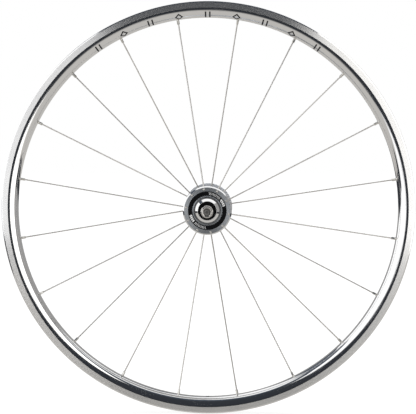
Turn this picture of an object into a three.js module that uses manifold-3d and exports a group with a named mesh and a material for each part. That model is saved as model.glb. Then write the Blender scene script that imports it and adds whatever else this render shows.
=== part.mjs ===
// A bicycle front wheel for a fixed-gear or track bike: a polished aluminium clincher rim, twenty radial
// spokes with their nipples, and a high-flange hub. Its solid threaded axle has a washer and a nut at each
// end. Millimetres. The wheel turns about Y, its centre is the origin, and Z is up. The right-hand side of
// the bicycle is -Y and its front is +X. Angles are counted from +X towards +Z.
import * as THREE from "three";
import { mergeVertices } from "three/addons/utils/BufferGeometryUtils.js";
import Module from "manifold-3d";

const wasm = await Module();
wasm.setup();

// Rim, for a 622 mm bead seat.
const RIM_OUTER_R = 317;
const RIM_DEPTH = 25;
const RIM_INNER_R = RIM_OUTER_R - RIM_DEPTH;
const RIM_HALF_WIDTH = 11.5;
const BRAKE_TRACK_FOOT_R = 307.2;
const WALL_FOOT_R = 298.4;
const WALL_FOOT_HALF_WIDTH = 10.4;
const BED_CURVE_R = 12.8;
const BED_CURVE_ANGLES = [43, 60, 75];
const WELL_R = 307.2;
const WELL_HALF_WIDTH = 3.8;
const BEAD_SEAT_R = 311;
const BEAD_SEAT_HALF_WIDTH = 9.7;
const HOOK_HALF_WIDTH = 9;
const CAVITY_FLOOR_R = 294;
const CAVITY_ROOF_R = 305.9;
const CAVITY_HALF_WIDTH = 10.2;
const CAVITY_SHOULDER_R = 309.4;
const RIM_SEGMENTS = 60;
const VALVE_HOLE_R = 3.25;
const VALVE_HOLE_SIDES = 12;
const VALVE_ANGLE = 270;
const ACCESS_HOLE_R = 4.2;
const NIPPLE_HOLE_R = 2.42;
const HOLE_SIDES = 6;

// Rim tape, lying in the well.
const TAPE_THICKNESS = 0.6;
const TAPE_CLEARANCE = 0.3;

// Spokes and nipples.
const SPOKE_COUNT = 20;
const FIRST_SPOKE_ANGLE = 9;
const SPOKE_R = 1.0;
const SPOKE_SIDES = 6;
const SPOKE_HEAD_R = 1.95;
const SPOKE_HEAD_HEIGHT = 1.1;
const ELBOW_R = 2.2;
const ELBOW_STEPS = 3;
const SPOKE_END_R = 296;
const NIPPLE_START_R = 285.2;
const NIPPLE_LENGTH = 12.3;
const NIPPLE_BODY_R = 2.0;
const NIPPLE_BORE_R = 1.42;
const NIPPLE_HEAD_R = 3.0;
const NIPPLE_HEAD_FOOT = 9.2;

// Hub shell. Distances along the axle are counted outwards from the wheel's middle plane.
const FLANGE_OUTER_FACE = 36;
const FLANGE_INNER_FACE = 32.8;
const FLANGE_R = 37.2;
const FLANGE_BEVEL = 1.9;
const SPOKE_CIRCLE_R = 32.8;
const SPOKE_HOLE_R = 1.42;
const HUB_SEGMENTS = 40;
const FINE_SEGMENTS = 24;
const NOSE_FACE = 40;
const NOSE_R = 18.3;
const BEAD_R = 21.5;
const BEARING_SEAT_R = 14.1;
const BEARING_SHOULDER = 27.4;
const BARREL_R = 15.5;
const HUB_BORE_R = 12;

// Cartridge bearings, 12 x 28 x 8.
const BEARING_INNER_FACE = 27.6;
const BEARING_WIDTH = 8;
const BEARING_OUTER_R = 14;
const BEARING_BORE_R = 6.1;
const OUTER_RACE_WALL = 1.7;
const INNER_RACE_WALL = 2.2;
const BALL_R = 1.85;
const BALL_COUNT = 9;
const CAGE_HALF_WALL = 0.5;
const CAGE_HALF_WIDTH = 1.1;

// Axle and what is threaded on it. The nuts are backed off by the gap that takes the fork end.
const AXLE_HALF_LENGTH = 68;
const AXLE_R = 4.75;
const AXLE_SEAT_R = 6;
const AXLE_BODY_R = 6.8;
const AXLE_CENTRE_DRILL_R = 1.3;
const THREAD_BORE_R = 5.05;
const DROPOUT_FACE = 50;
const SPACER_R = 8.2;
const LOCKNUT_R = 9.1;
const LOCKNUT_WIDTH = 4;
const WASHER_R = 9.5;
const WASHER_THICKNESS = 1.8;
const FACE_GAP = 0.3;
const DROPOUT_GAP = 6.3;
const NUT_ACROSS_FLATS = 15;
const NUT_HEIGHT = 8;
const NUT_CHAMFER = 1.1;

// Label band on each flange, and dust cover in each nose.
const LABEL_INNER_R = 23;
const LABEL_OUTER_R = 29.3;
const LABEL_THICKNESS = 0.3;
const LABEL_GAP = 0.05;
const COVER_OUTER_R = 13.9;
const COVER_INNER_R = 8.6;
const COVER_INNER_FACE = 36.4;
const COVER_THICKNESS = 1.6;

const metal = (color, roughness) => new THREE.MeshStandardMaterial({ color, roughness, metalness: 1 });
const soft = (color, roughness) => new THREE.MeshStandardMaterial({ color, roughness, metalness: 0 });
const polishedAluminium = metal(0xd9dadb, 0.14);
const satinAluminium = metal(0x9aa2aa, 0.32);
const spokeSteel = metal(0xc9c5bd, 0.22);
const nickelBrass = metal(0xc8c2b4, 0.25);
const bearingSteel = metal(0xb4b6b8, 0.2);
const darkSteel = metal(0x5c5a58, 0.4);
const zincSteel = metal(0xcfc9c3, 0.25);
const blackRubber = soft(0x0c0c0d, 0.6);
const blackLabel = soft(0x0a0a0b, 0.3);
const whiteTape = soft(0xd8d6cf, 0.7);

// The axis that three.js turns its lathes and cylinders about.
const UP = new THREE.Vector3(0, 1, 0);
const radians = THREE.MathUtils.degToRad;
const wheel = new THREE.Group();

function add(name, geometry, material) {
  const mesh = new THREE.Mesh(geometry, material);
  mesh.name = name;
  wheel.add(mesh);
  return mesh;
}

function solid(geometry) {
  const bare = geometry.index ? geometry.toNonIndexed() : geometry.clone();
  bare.deleteAttribute("normal");
  bare.deleteAttribute("uv");
  const merged = mergeVertices(bare, 1e-4);
  return new wasm.Manifold(
    new wasm.Mesh({
      numProp: 3,
      vertProperties: new Float32Array(merged.attributes.position.array),
      triVerts: new Uint32Array(merged.index.array),
    }),
  );
}

function geometryOf(manifold) {
  const mesh = manifold.getMesh();
  const geometry = new THREE.BufferGeometry();
  geometry.setAttribute("position", new THREE.BufferAttribute(mesh.vertProperties, 3));
  geometry.setIndex(new THREE.BufferAttribute(mesh.triVerts, 1));
  return geometry;
}

// A ring or a turned body about Y from a closed outline of [radius, y] points, given in either direction.
function turned(outline, segments) {
  const area = outline.reduce((sum, [r, y], i) => {
    const [nextR, nextY] = outline[(i + 1) % outline.length];
    return sum + r * nextY - nextR * y;
  }, 0);
  const points = (area > 0 ? outline : [...outline].reverse()).map(([r, y]) => new THREE.Vector2(r, y));
  points.push(points[0].clone());
  return new THREE.LatheGeometry(points, segments);
}

// Adds the mirror image of half an outline, whose points run from one end of the half to the other.
function mirrored(half) {
  const other = half.filter(([, y]) => y !== 0).map(([r, y]) => [r, -y]);
  return [...half, ...other.reverse()];
}

// A rectangle-section ring between two distances along the axle, on one side of the wheel.
function ring(innerR, outerR, near, far, side, segments = FINE_SEGMENTS) {
  return turned(
    [
      [innerR, side * near],
      [outerR, side * near],
      [outerR, side * far],
      [innerR, side * far],
    ],
    segments,
  );
}

// A cylinder from one point to another.
function rod(from, to, radius, sides) {
  const along = new THREE.Vector3().subVectors(to, from);
  const geometry = new THREE.CylinderGeometry(radius, radius, along.length(), sides);
  const turn = new THREE.Quaternion().setFromUnitVectors(UP, along.clone().normalize());
  const middle = new THREE.Vector3().addVectors(from, to).multiplyScalar(0.5);
  return geometry.applyQuaternion(turn).translate(middle.x, middle.y, middle.z);
}

const polar = (radius, degrees, y = 0) =>
  new THREE.Vector3(radius * Math.cos(radians(degrees)), y, radius * Math.sin(radians(degrees)));

// Each spoke's angle, and its side of the hub: -1 is the right-hand flange and 1 the left-hand one.
const spokes = Array.from({ length: SPOKE_COUNT }, (_, i) => ({
  name: String(i + 1).padStart(2, "0"),
  angle: FIRST_SPOKE_ANGLE + (i * 360) / SPOKE_COUNT,
  side: i % 2 === 0 ? 1 : -1,
}));

// Where a spoke's elbow begins and ends on the left flange, in (radius, distance along the axle). From there
// the spoke runs straight, tangent to the elbow, and meets the rim's middle plane at the rim's inner radius.
const elbowStart = new THREE.Vector2(SPOKE_CIRCLE_R, FLANGE_INNER_FACE + 0.2);
const elbowCentre = new THREE.Vector2(SPOKE_CIRCLE_R + ELBOW_R, elbowStart.y);
const rimPoint = new THREE.Vector2(RIM_INNER_R, 0);
const toRim = new THREE.Vector2().subVectors(rimPoint, elbowCentre);
const lean = Math.atan2(-toRim.y, toRim.x) - Math.asin(ELBOW_R / toRim.length());
const spokeDirection = new THREE.Vector2(Math.cos(lean), -Math.sin(lean));
const elbowEnd = new THREE.Vector2(
  elbowCentre.x - ELBOW_R * Math.sin(lean),
  elbowCentre.y - ELBOW_R * Math.cos(lean),
);
const alongSpoke = (radius) => (radius - elbowEnd.x) / spokeDirection.x;
const spokePoint = (radius, side) => {
  const distance = alongSpoke(radius);
  return new THREE.Vector3(radius, side * (elbowEnd.y + distance * spokeDirection.y), 0);
};
const placeAt = (geometry, degrees) => geometry.rotateY(-radians(degrees));

// The rim's section: the well, the hooks, the brake track, a side wall that leans in by about 5 degrees, a
// tight corner, and a round spoke bed.
function rimOutline() {
  const bed = BED_CURVE_ANGLES.map((degrees) => [
    RIM_INNER_R + BED_CURVE_R * (1 - Math.sin(radians(degrees))),
    BED_CURVE_R * Math.cos(radians(degrees)),
  ]);
  return mirrored([
    [WELL_R, WELL_HALF_WIDTH],
    [BEAD_SEAT_R - 0.3, WELL_HALF_WIDTH + 2.4],
    [BEAD_SEAT_R, BEAD_SEAT_HALF_WIDTH],
    [BEAD_SEAT_R + 4.2, HOOK_HALF_WIDTH],
    [RIM_OUTER_R, HOOK_HALF_WIDTH + 0.8],
    [RIM_OUTER_R, RIM_HALF_WIDTH],
    [BRAKE_TRACK_FOOT_R, RIM_HALF_WIDTH],
    [BRAKE_TRACK_FOOT_R - 0.6, RIM_HALF_WIDTH - 0.3],
    [WALL_FOOT_R, WALL_FOOT_HALF_WIDTH],
    [WALL_FOOT_R - 1.3, WALL_FOOT_HALF_WIDTH - 0.4],
    ...bed,
    [RIM_INNER_R, 0],
  ]);
}

// Cuts the valve's hole right through the rim and its tape.
const valveRod = (radius) =>
  solid(rod(polar(RIM_INNER_R - 2, VALVE_ANGLE), polar(RIM_OUTER_R, VALVE_ANGLE), radius, VALVE_HOLE_SIDES));

function makeRim() {
  const cavity = mirrored([
    [CAVITY_FLOOR_R, 3.9],
    [CAVITY_FLOOR_R + 1.6, 6.9],
    [CAVITY_FLOOR_R + 4, 8.9],
    [CAVITY_SHOULDER_R, CAVITY_HALF_WIDTH],
    [CAVITY_SHOULDER_R, 7.2],
    [CAVITY_ROOF_R, 4.2],
  ]);
  let rim = solid(turned(rimOutline(), RIM_SEGMENTS)).subtract(solid(turned(cavity, RIM_SEGMENTS)));
  for (const { angle, side } of spokes) {
    const below = spokePoint(RIM_INNER_R - 3, side);
    const above = spokePoint(CAVITY_FLOOR_R + 3, side);
    const seat = placeAt(rod(below, above, NIPPLE_HOLE_R, HOLE_SIDES), angle);
    const access = rod(polar(CAVITY_ROOF_R - 2, angle), polar(WELL_R + 1, angle), ACCESS_HOLE_R, HOLE_SIDES);
    rim = rim.subtract(solid(seat)).subtract(solid(access));
  }
  add("rim", geometryOf(rim.subtract(valveRod(VALVE_HOLE_R))), polishedAluminium);
}

function makeRimTape() {
  const floor = WELL_R + TAPE_CLEARANCE;
  const lip = BEAD_SEAT_R + TAPE_CLEARANCE;
  const tape = turned(
    mirrored([
      [floor, WELL_HALF_WIDTH - 0.4],
      [lip, WELL_HALF_WIDTH + 2.2],
      [lip + TAPE_THICKNESS, WELL_HALF_WIDTH + 1.9],
      [floor + TAPE_THICKNESS, WELL_HALF_WIDTH - 0.7],
    ]),
    RIM_SEGMENTS,
  );
  add("rim_tape", geometryOf(solid(tape).subtract(valveRod(VALVE_HOLE_R + TAPE_CLEARANCE))), whiteTape);
}

// The middle line of a spoke: straight through the flange, round the elbow, and straight to the rim. The
// elbow takes ELBOW_STEPS of the curve's equal steps, and each straight part takes one.
class SpokeLine extends THREE.Curve {
  constructor(side) {
    super();
    this.side = side;
    this.steps = ELBOW_STEPS + 2;
  }
  getPoint(t, target = new THREE.Vector3()) {
    const step = t * this.steps;
    const start = new THREE.Vector2(SPOKE_CIRCLE_R, FLANGE_OUTER_FACE + FACE_GAP + SPOKE_HEAD_HEIGHT / 2);
    const point = new THREE.Vector2();
    if (step < 1) point.lerpVectors(start, elbowStart, step);
    else if (step > 1 + ELBOW_STEPS) {
      const end = elbowEnd.clone().addScaledVector(spokeDirection, alongSpoke(SPOKE_END_R));
      point.lerpVectors(elbowEnd, end, step - 1 - ELBOW_STEPS);
    } else {
      const angle = ((step - 1) / ELBOW_STEPS) * (Math.PI / 2 - lean);
      point.set(elbowCentre.x - ELBOW_R * Math.cos(angle), elbowCentre.y - ELBOW_R * Math.sin(angle));
    }
    return target.set(point.x, this.side * point.y, 0);
  }
  getPointAt(u, target) {
    return this.getPoint(u, target);
  }
  getTangentAt(u, target) {
    return this.getTangent(u, target);
  }
}

function makeSpoke({ name, angle, side }) {
  const profile = [
    [0, 0],
    [SPOKE_HEAD_R, 0],
    [SPOKE_HEAD_R * 0.8, SPOKE_HEAD_HEIGHT * 0.7],
    [SPOKE_HEAD_R * 0.3, SPOKE_HEAD_HEIGHT],
    [0, SPOKE_HEAD_HEIGHT],
  ].map(([r, y]) => new THREE.Vector2(r, y));
  const head = new THREE.LatheGeometry(profile, SPOKE_SIDES);
  if (side < 0) head.rotateX(Math.PI);
  head.translate(SPOKE_CIRCLE_R, side * (FLANGE_OUTER_FACE + FACE_GAP), 0);

  const line = new SpokeLine(side);
  const section = new THREE.Shape(
    Array.from({ length: SPOKE_SIDES }, (_, i) => {
      const turn = (i / SPOKE_SIDES) * 2 * Math.PI;
      return new THREE.Vector2(SPOKE_R * Math.cos(turn), SPOKE_R * Math.sin(turn));
    }),
  );
  const wire = new THREE.ExtrudeGeometry(section, { steps: line.steps, extrudePath: line });
  const spoke = solid(head).add(solid(wire));
  add("spoke_" + name, placeAt(geometryOf(spoke), angle), spokeSteel);
}

function makeNipple({ name, angle, side }) {
  const outline = [
    [NIPPLE_BORE_R, 0],
    [NIPPLE_BODY_R, 0],
    [NIPPLE_BODY_R, NIPPLE_HEAD_FOOT],
    [NIPPLE_HEAD_R, NIPPLE_HEAD_FOOT + 0.9],
    [NIPPLE_HEAD_R * 0.8, NIPPLE_LENGTH],
    [NIPPLE_BORE_R, NIPPLE_LENGTH],
  ];
  const direction = new THREE.Vector3(spokeDirection.x, side * spokeDirection.y, 0);
  const start = spokePoint(NIPPLE_START_R, side);
  const nipple = turned(outline, SPOKE_SIDES)
    .applyQuaternion(new THREE.Quaternion().setFromUnitVectors(UP, direction))
    .translate(start.x, start.y, start.z);
  add("nipple_" + name, placeAt(nipple, angle), nickelBrass);
}

function makeHubShell() {
  const outline = mirrored([
    [HUB_BORE_R, BEARING_SHOULDER],
    [BEARING_SEAT_R, BEARING_SHOULDER],
    [BEARING_SEAT_R, NOSE_FACE],
    [BEARING_SEAT_R + 0.4, NOSE_FACE],
    [NOSE_R, NOSE_FACE - 3.6],
    [NOSE_R + 0.2, FLANGE_OUTER_FACE + 0.4],
    [BEAD_R - 0.9, FLANGE_OUTER_FACE + 0.4],
    [BEAD_R, FLANGE_OUTER_FACE + 0.9],
    [LABEL_INNER_R - 0.3, FLANGE_OUTER_FACE],
    [FLANGE_R - FLANGE_BEVEL, FLANGE_OUTER_FACE],
    [FLANGE_R, FLANGE_OUTER_FACE - FLANGE_BEVEL],
    [FLANGE_R, FLANGE_INNER_FACE + 0.5],
    [FLANGE_R - 0.5, FLANGE_INNER_FACE],
    [SPOKE_CIRCLE_R - 3.8, FLANGE_INNER_FACE],
    [SPOKE_CIRCLE_R - 8.5, FLANGE_INNER_FACE - 2.2],
    [BARREL_R + 3.4, FLANGE_INNER_FACE - 6.4],
    [BARREL_R + 0.8, FLANGE_INNER_FACE - 13],
    [BARREL_R, FLANGE_INNER_FACE - 22],
  ]);
  let shell = solid(turned(outline, HUB_SEGMENTS));
  for (const { angle, side } of spokes) {
    const hole = rod(
      polar(SPOKE_CIRCLE_R, angle, side * (FLANGE_INNER_FACE - 1)),
      polar(SPOKE_CIRCLE_R, angle, side * (FLANGE_OUTER_FACE + 1)),
      SPOKE_HOLE_R,
      HOLE_SIDES,
    );
    shell = shell.subtract(solid(hole));
  }
  add("hub_shell", geometryOf(shell), satinAluminium);
}

function makeBearing(side, label) {
  const near = BEARING_INNER_FACE;
  const far = near + BEARING_WIDTH;
  const middle = side * (near + BEARING_WIDTH / 2);
  const outer = ring(BEARING_OUTER_R - OUTER_RACE_WALL, BEARING_OUTER_R, near, far, side);
  add("bearing_outer_race_" + label, outer, bearingSteel);
  const inner = ring(BEARING_BORE_R, BEARING_BORE_R + INNER_RACE_WALL, near, far, side);
  add("bearing_inner_race_" + label, inner, bearingSteel);

  const pitchR = (BEARING_OUTER_R - OUTER_RACE_WALL + BEARING_BORE_R + INNER_RACE_WALL) / 2;
  let cage = solid(
    turned(
      [
        [pitchR - CAGE_HALF_WALL, middle - CAGE_HALF_WIDTH],
        [pitchR + CAGE_HALF_WALL, middle - CAGE_HALF_WIDTH],
        [pitchR + CAGE_HALF_WALL, middle + CAGE_HALF_WIDTH],
        [pitchR - CAGE_HALF_WALL, middle + CAGE_HALF_WIDTH],
      ],
      BALL_COUNT * 2,
    ),
  );
  for (let i = 0; i < BALL_COUNT; i += 1) {
    const centre = polar(pitchR, (i * 360) / BALL_COUNT, middle);
    cage = cage.add(solid(new THREE.IcosahedronGeometry(BALL_R).translate(centre.x, centre.y, centre.z)));
  }
  add("bearing_ball_cage_" + label, geometryOf(cage), bearingSteel);
}

function makeAxle() {
  const half = [
    [AXLE_BODY_R, 0],
    [AXLE_BODY_R, BEARING_INNER_FACE - 0.1],
    [AXLE_SEAT_R, BEARING_INNER_FACE - 0.1],
    [AXLE_SEAT_R, BEARING_INNER_FACE + BEARING_WIDTH - 0.2],
    [AXLE_R, BEARING_INNER_FACE + BEARING_WIDTH],
    [AXLE_R, AXLE_HALF_LENGTH - 0.8],
    [AXLE_R - 0.7, AXLE_HALF_LENGTH],
    [AXLE_CENTRE_DRILL_R, AXLE_HALF_LENGTH],
    [0, AXLE_HALF_LENGTH - 1.4],
  ];
  const lower = half.slice(1).map(([r, y]) => [r, -y]);
  const points = [...lower.reverse(), ...half].map(([r, y]) => new THREE.Vector2(r, y));
  add("axle_rod", new THREE.LatheGeometry(points, FINE_SEGMENTS), darkSteel);
}

function makeLockSpacer(side, label) {
  const near = BEARING_INNER_FACE + BEARING_WIDTH + 0.3;
  const flangeFoot = DROPOUT_FACE - LOCKNUT_WIDTH;
  const outline = [
    [THREAD_BORE_R, near],
    [SPACER_R, near],
    [SPACER_R, flangeFoot],
    [LOCKNUT_R, flangeFoot],
    [LOCKNUT_R, DROPOUT_FACE],
    [THREAD_BORE_R, DROPOUT_FACE],
  ];
  const placed = outline.map(([r, y]) => [r, side * y]);
  add("lock_spacer_" + label, turned(placed, FINE_SEGMENTS), bearingSteel);
}

function makeWasher(side, label) {
  const near = DROPOUT_FACE + DROPOUT_GAP;
  const outline = [
    [THREAD_BORE_R, near],
    [WASHER_R, near],
    [WASHER_R, near + WASHER_THICKNESS * 0.5],
    [WASHER_R - 1.2, near + WASHER_THICKNESS],
    [THREAD_BORE_R, near + WASHER_THICKNESS],
  ];
  const placed = outline.map(([r, y]) => [r, side * y]);
  add("serrated_washer_" + label, turned(placed, FINE_SEGMENTS), zincSteel);
}

function makeNut(side, label) {
  const near = DROPOUT_FACE + DROPOUT_GAP + WASHER_THICKNESS + FACE_GAP;
  const far = near + NUT_HEIGHT;
  const cornerR = NUT_ACROSS_FLATS / 2 / Math.cos(Math.PI / 6);
  const chamferR = NUT_ACROSS_FLATS / 2 - 0.3;
  const prism = new THREE.CylinderGeometry(cornerR, cornerR, NUT_HEIGHT, 6).translate(
    0,
    side * (near + NUT_HEIGHT / 2),
    0,
  );
  const crown = turned(
    [
      [0, near - 1],
      [cornerR + 1, near - 1],
      [cornerR + 1, far - NUT_CHAMFER - 0.55],
      [chamferR, far],
      [0, far],
    ].map(([r, y]) => [r, side * y]),
    FINE_SEGMENTS,
  );
  const bore = rod(
    new THREE.Vector3(0, side * (near - 2), 0),
    new THREE.Vector3(0, side * (far + 2), 0),
    THREAD_BORE_R,
    FINE_SEGMENTS,
  );
  const nut = solid(prism).intersect(solid(crown)).subtract(solid(bore));
  add("axle_nut_" + label, geometryOf(nut), zincSteel);
}

function makeDustCover(side, label) {
  const far = COVER_INNER_FACE + COVER_THICKNESS;
  const cover = ring(COVER_INNER_R, COVER_OUTER_R, COVER_INNER_FACE, far, side);
  add("dust_cover_" + label, cover, blackRubber);
}

function makeLabelBand(side, label) {
  const near = FLANGE_OUTER_FACE + LABEL_GAP;
  const band = ring(LABEL_INNER_R, LABEL_OUTER_R, near, near + LABEL_THICKNESS, side, HUB_SEGMENTS);
  add("label_band_" + label, band, blackLabel);
}

makeRim();
makeRimTape();
spokes.forEach(makeSpoke);
spokes.forEach(makeNipple);
makeHubShell();
makeAxle();
for (const [side, label] of [
  [-1, "right"],
  [1, "left"],
]) {
  makeBearing(side, label);
  makeDustCover(side, label);
  makeLabelBand(side, label);
  makeLockSpacer(side, label);
  makeWasher(side, label);
  makeNut(side, label);
}

export default wheel;
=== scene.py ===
"""The looks of a bicycle front wheel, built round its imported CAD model.

Sizes are millimetres in the making and metres in Blender. The wheel turns about Y and its centre is the
origin. Angles round the wheel are counted in degrees from +X towards +Z. The right-hand side is -Y.
"""
import math

import bmesh
import bpy
import numpy as np
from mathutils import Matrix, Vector


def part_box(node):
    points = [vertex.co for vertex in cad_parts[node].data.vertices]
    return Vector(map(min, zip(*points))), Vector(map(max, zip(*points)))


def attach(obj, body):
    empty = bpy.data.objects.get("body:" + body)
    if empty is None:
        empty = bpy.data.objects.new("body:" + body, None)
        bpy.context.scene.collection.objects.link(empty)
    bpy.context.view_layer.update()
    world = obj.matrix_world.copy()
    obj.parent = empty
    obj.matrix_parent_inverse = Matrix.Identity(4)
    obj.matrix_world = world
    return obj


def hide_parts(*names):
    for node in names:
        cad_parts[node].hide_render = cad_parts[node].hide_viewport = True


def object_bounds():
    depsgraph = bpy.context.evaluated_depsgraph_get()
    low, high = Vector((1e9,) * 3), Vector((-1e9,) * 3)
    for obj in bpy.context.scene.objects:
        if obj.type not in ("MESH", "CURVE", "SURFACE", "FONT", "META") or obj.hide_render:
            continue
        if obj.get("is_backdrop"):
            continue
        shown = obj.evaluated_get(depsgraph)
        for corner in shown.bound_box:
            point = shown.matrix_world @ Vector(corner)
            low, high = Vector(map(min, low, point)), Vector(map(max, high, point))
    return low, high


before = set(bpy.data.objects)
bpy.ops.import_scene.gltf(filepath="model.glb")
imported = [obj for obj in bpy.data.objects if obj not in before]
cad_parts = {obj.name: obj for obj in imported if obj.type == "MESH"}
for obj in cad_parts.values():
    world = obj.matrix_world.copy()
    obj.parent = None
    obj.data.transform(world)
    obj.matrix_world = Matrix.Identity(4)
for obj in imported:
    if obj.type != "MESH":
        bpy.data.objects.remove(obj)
cad_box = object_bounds()

MM = 0.001
SIDES = {"right": -1, "left": 1}

# -------------------- sizes, in millimetres, read off the frame


def reach(node, axis):
    """The furthest that a CAD node reaches along an axis."""
    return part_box(node)[1][axis] / MM


def near_and_far(node):
    """Where a CAD node of the left-hand side begins and ends along the axle."""
    low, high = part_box(node)
    return low[1] / MM, high[1] / MM


RIM_OUTER_R = reach("rim", 2)
RIM_DEPTH = 25
RIM_INNER_R = RIM_OUTER_R - RIM_DEPTH
RIM_HALF_WIDTH = reach("rim", 1)
TRACK_FOOT_R = RIM_OUTER_R - 9.8
WALL_TOP_R = TRACK_FOOT_R - 0.55
WALL_FOOT_R = RIM_OUTER_R - 18.6
WALL_FOOT_LEAN = 7.8
WALL_TOP_HALF_WIDTH = RIM_HALF_WIDTH - 0.3
BED_CURVE_R = 12.8
BED_EDGE = 43
WELL_R = RIM_OUTER_R - 9.8
BEAD_SEAT_R = RIM_OUTER_R - 6
CAVITY_FLOOR_R = RIM_INNER_R + 2
CAVITY_ROOF_R = WELL_R - 1.3
VALVE_ANGLE = 270
VALVE_HOLE_R = 3.25
RIM_SPOKE_HOLE_R = 2.15
ACCESS_HOLE_R = 4.2
TRACK_TOP_R = RIM_OUTER_R - 1.8

SPOKE_COUNT = 20
FIRST_SPOKE_ANGLE = 9
SPOKE_R = 1.0
SPOKE_MIDDLE_R = 0.9
ELBOW_R = 2.2
HEAD_R = 1.95
HEAD_HEIGHT = 1.25

FLANGE_R = reach("hub_shell", 2)
FLANGE_FACE = 36.0
FLANGE_BACK = 32.8
SPOKE_CIRCLE_R = 32.8
NOSE_FACE = reach("hub_shell", 1)
NOSE_R = 18.3
BEAD_R = 21.5
SEAT_R = 14.1
BARREL_R = 15.5
HUB_BORE_R = 12.2
BEARING_SHOULDER = 27.5
FLANGE_BEVEL = 1.9
HUB_SPOKE_HOLE_R = 1.3

AXLE_END = reach("axle_rod", 1)
THREAD_R = 4.93
THREAD_DEPTH = 0.5
THREAD_PITCH = 1.0
NUT_BORE_R = 5.02


# -------------------- outlines and meshes


def rounded(outline, radii, steps=4):
    """A closed outline of (radius, y) points with rounded corners. radii is one number, or one a corner."""
    points = [Vector(p) for p in outline]
    if not isinstance(radii, (list, tuple)):
        radii = [radii] * len(points)
    made = []
    for i, corner in enumerate(points):
        before = points[i - 1] - corner
        after = points[(i + 1) % len(points)] - corner
        radius = radii[i]
        if radius <= 0 or before.length < 1e-6 or after.length < 1e-6:
            made.append(tuple(corner))
            continue
        u, v = before.normalized(), after.normalized()
        half = u.angle(v) / 2
        if half < 0.05 or half > math.pi / 2 - 0.02:
            made.append(tuple(corner))
            continue
        cut = min(radius / math.tan(half), 0.45 * before.length, 0.45 * after.length)
        radius = cut * math.tan(half)
        centre = corner + (u + v).normalized() * (radius / math.sin(half))
        start, end = corner + u * cut - centre, corner + v * cut - centre
        for k in range(steps + 1):
            made.append(tuple(centre + radius * start.slerp(end, k / steps)))
    return made


def mirrored(half):
    """Half an outline, from one end to the other, with its mirror image in y after it."""
    return list(half) + [(r, -y) for r, y in reversed(half) if abs(y) > 1e-9]


def on_side(outline, side):
    """An outline of the left-hand side, or its mirror image for the right-hand side."""
    return [(r, side * y) for r, y in outline]


def turned(outline, segments, shape=None):
    """Rings of points for a body turned about Y. shape(r, y, angle) may change r and y round the body."""
    angle = np.linspace(0, 2 * math.pi, segments, endpoint=False)[None, :]
    r = np.repeat(np.array([p[0] for p in outline], float)[:, None], segments, 1)
    y = np.repeat(np.array([p[1] for p in outline], float)[:, None], segments, 1)
    if shape:
        r, y = shape(r, y, angle)
    return np.stack([r * np.cos(angle), y, r * np.sin(angle)], -1)


def skin(rings, closed=True):
    """Vertices and faces over rings of points. closed joins the last ring to the first one."""
    count, around = rings.shape[:2]
    i = np.arange(count if closed else count - 1)[:, None]
    j = np.arange(around)[None, :]
    a = i * around + j
    b = i * around + (j + 1) % around
    c = ((i + 1) % count) * around + (j + 1) % around
    d = ((i + 1) % count) * around + j
    faces = np.stack([a, b, c, d], -1).reshape(-1, 4)
    return rings.reshape(-1, 3), faces.tolist()


def placed(points, degrees):
    """Points turned round the wheel by an angle, from +X towards +Z."""
    c, s = math.cos(math.radians(degrees)), math.sin(math.radians(degrees))
    x, y, z = points[..., 0], points[..., 1], points[..., 2]
    return np.stack([c * x - s * z, y, s * x + c * z], -1)


def joined(*parts):
    """Several (vertices, faces) as one."""
    vertices, faces, base = [], [], 0
    for v, f in parts:
        vertices.append(np.asarray(v, float).reshape(-1, 3))
        faces += [[k + base for k in face] for face in f]
        base += len(vertices[-1])
    return np.concatenate(vertices), faces


def build(name, shape, materials, sharp=32, face_material=None):
    """A smooth object from (vertices, faces) in millimetres. face_material(centre) picks a material."""
    vertices, faces = shape
    mesh = bpy.data.meshes.new(name)
    mesh.from_pydata((np.asarray(vertices) * MM).tolist(), [], faces)
    bm = bmesh.new()
    bm.from_mesh(mesh)
    bmesh.ops.remove_doubles(bm, verts=bm.verts, dist=1e-7)
    bmesh.ops.recalc_face_normals(bm, faces=bm.faces)
    bm.to_mesh(mesh)
    bm.free()
    piece = bpy.data.objects.new(name, mesh)
    bpy.context.scene.collection.objects.link(piece)
    for material in materials if isinstance(materials, (list, tuple)) else [materials]:
        mesh.materials.append(material)
    dress(piece, sharp, face_material)
    return piece


def dress(piece, sharp, face_material=None):
    """Shades a piece, with edges over sharp degrees left sharp, and gives each face its material."""
    mesh = piece.data
    if face_material:
        for polygon in mesh.polygons:
            polygon.material_index = face_material(polygon.center / MM)
    mesh.shade_smooth()
    mesh.set_sharp_from_angle(angle=math.radians(sharp))
    if not piece.modifiers:
        flat = piece.modifiers.new("flat faces stay flat", "WEIGHTED_NORMAL")
        flat.keep_sharp = True


def combine(piece, operation, shapes, materials=(), face_material=None):
    """Cuts closed (vertices, faces) shapes out of a piece, or unites them with it."""
    tool = build("tool", joined(*shapes), materials)
    piece.modifiers.clear()
    modifier = piece.modifiers.new("shapes", "BOOLEAN")
    modifier.operation = operation
    modifier.solver = "EXACT"
    modifier.object = tool
    graph = bpy.context.evaluated_depsgraph_get()
    mesh = bpy.data.meshes.new_from_object(piece.evaluated_get(graph))
    old = piece.data
    piece.modifiers.clear()
    piece.data = mesh
    bpy.data.meshes.remove(old)
    bpy.data.objects.remove(tool)
    dress(piece, 32, face_material)


def finish(piece, body, slot, *nodes):
    """The piece rides on a body and stands for CAD nodes, which it hides. slot is not used."""
    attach(piece, body)
    if nodes:
        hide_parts(*nodes)


def rod(start, end, radius, sides=32):
    """A closed cylinder between two points."""
    start, end = Vector(start), Vector(end)
    along = (end - start).normalized()
    u = along.orthogonal().normalized()
    v = along.cross(u)
    rings = []
    for point, r in ((start, 0), (start, radius), (end, radius), (end, 0)):
        turn = [2 * math.pi * k / sides for k in range(sides)]
        rings.append([list(point + r * (math.cos(a) * u + math.sin(a) * v)) for a in turn])
    return skin(np.array(rings), closed=False)


# -------------------- materials


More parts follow.
